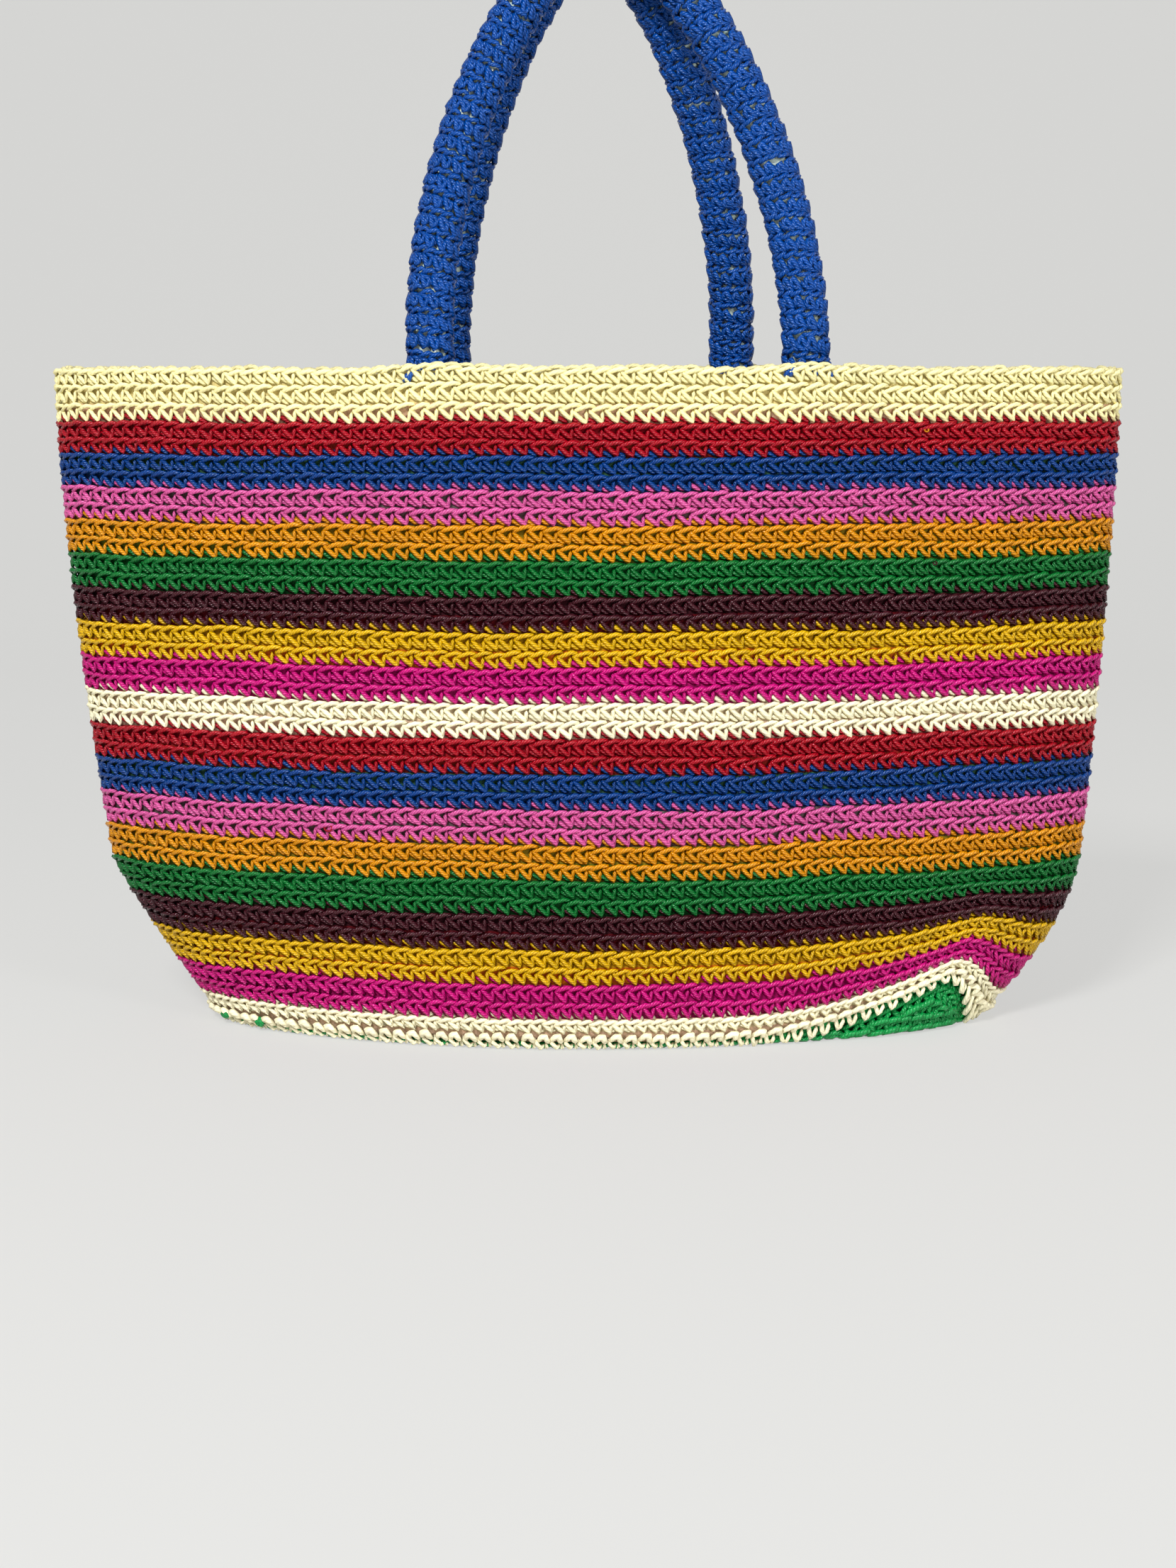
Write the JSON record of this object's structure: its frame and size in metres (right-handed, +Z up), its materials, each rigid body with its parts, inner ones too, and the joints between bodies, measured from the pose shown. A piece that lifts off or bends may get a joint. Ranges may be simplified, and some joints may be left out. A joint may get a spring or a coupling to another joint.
{
  "type": "crochet basket bag",
  "caption": "Soft open basket bag crocheted in coloured stripes on an oval base, with arched tube handles in crocheted sleeves sewn inside the rim.",
  "frame": {"origin": "middle of the base's underside, on the surface that the bag stands on", "axes": "+X to the viewer's right along the wide side, +Y from the front face to the rear face, +Z up"},
  "size_m": [0.4234, 0.1188, 0.4373],
  "materials": {
    "cream_yarn": "matte crocheted cord",
    "red_yarn": "glossy crocheted cord",
    "blue_yarn": "glossy crocheted cord",
    "pink_yarn": "glossy crocheted cord",
    "orange_yarn": "glossy crocheted cord",
    "green_yarn": "glossy crocheted cord",
    "maroon_yarn": "glossy crocheted cord",
    "yellow_yarn": "glossy crocheted cord",
    "magenta_yarn": "glossy crocheted cord",
    "handle_yarn": "glossy crocheted cord",
    "clear_tube": "clear flexible hose"
  },
  "bodies": {
    "bag": {"band_01_cream": "cream_yarn", "band_02_red": "red_yarn", "band_03_blue": "blue_yarn", "band_04_pink": "pink_yarn", "band_05_orange": "orange_yarn", "band_06_green": "green_yarn", "band_07_maroon": "maroon_yarn", "band_08_yellow": "yellow_yarn", "band_09_magenta": "magenta_yarn", "band_10_cream": "cream_yarn", "band_11_red": "red_yarn", "band_12_blue": "blue_yarn", "band_13_pink": "pink_yarn", "band_14_orange": "orange_yarn", "band_15_green": "green_yarn", "band_16_maroon": "maroon_yarn", "band_17_yellow": "yellow_yarn", "band_18_magenta": "magenta_yarn", "band_19_cream": "cream_yarn", "base_panel": "green_yarn", "front_left_sewn_sleeve_end": "handle_yarn", "front_left_sewn_tube_end": "clear_tube", "front_left_lashing": "handle_yarn", "front_right_sewn_sleeve_end": "handle_yarn", "front_right_sewn_tube_end": "clear_tube", "front_right_lashing": "handle_yarn", "rear_left_sewn_sleeve_end": "handle_yarn", "rear_left_sewn_tube_end": "clear_tube", "rear_left_lashing": "handle_yarn", "rear_right_sewn_sleeve_end": "handle_yarn", "rear_right_sewn_tube_end": "clear_tube", "rear_right_lashing": "handle_yarn"},
    "front_handle": {"front_handle_sleeve": "handle_yarn", "front_handle_tube": "clear_tube"},
    "rear_handle": {"rear_handle_sleeve": "handle_yarn", "rear_handle_tube": "clear_tube"}
  },
  "joints": [
    {"name": "front_handle_swing", "type": "hinge", "parent": "bag", "child": "front_handle", "pos_m": [0, -0.041, 0.27319], "axis": [1, 0, 0], "range_deg": [0, 75]},
    {"name": "rear_handle_swing", "type": "hinge", "parent": "bag", "child": "rear_handle", "pos_m": [0, 0.041, 0.27319], "axis": [-1, 0, 0], "range_deg": [0, 75]}
  ]
}
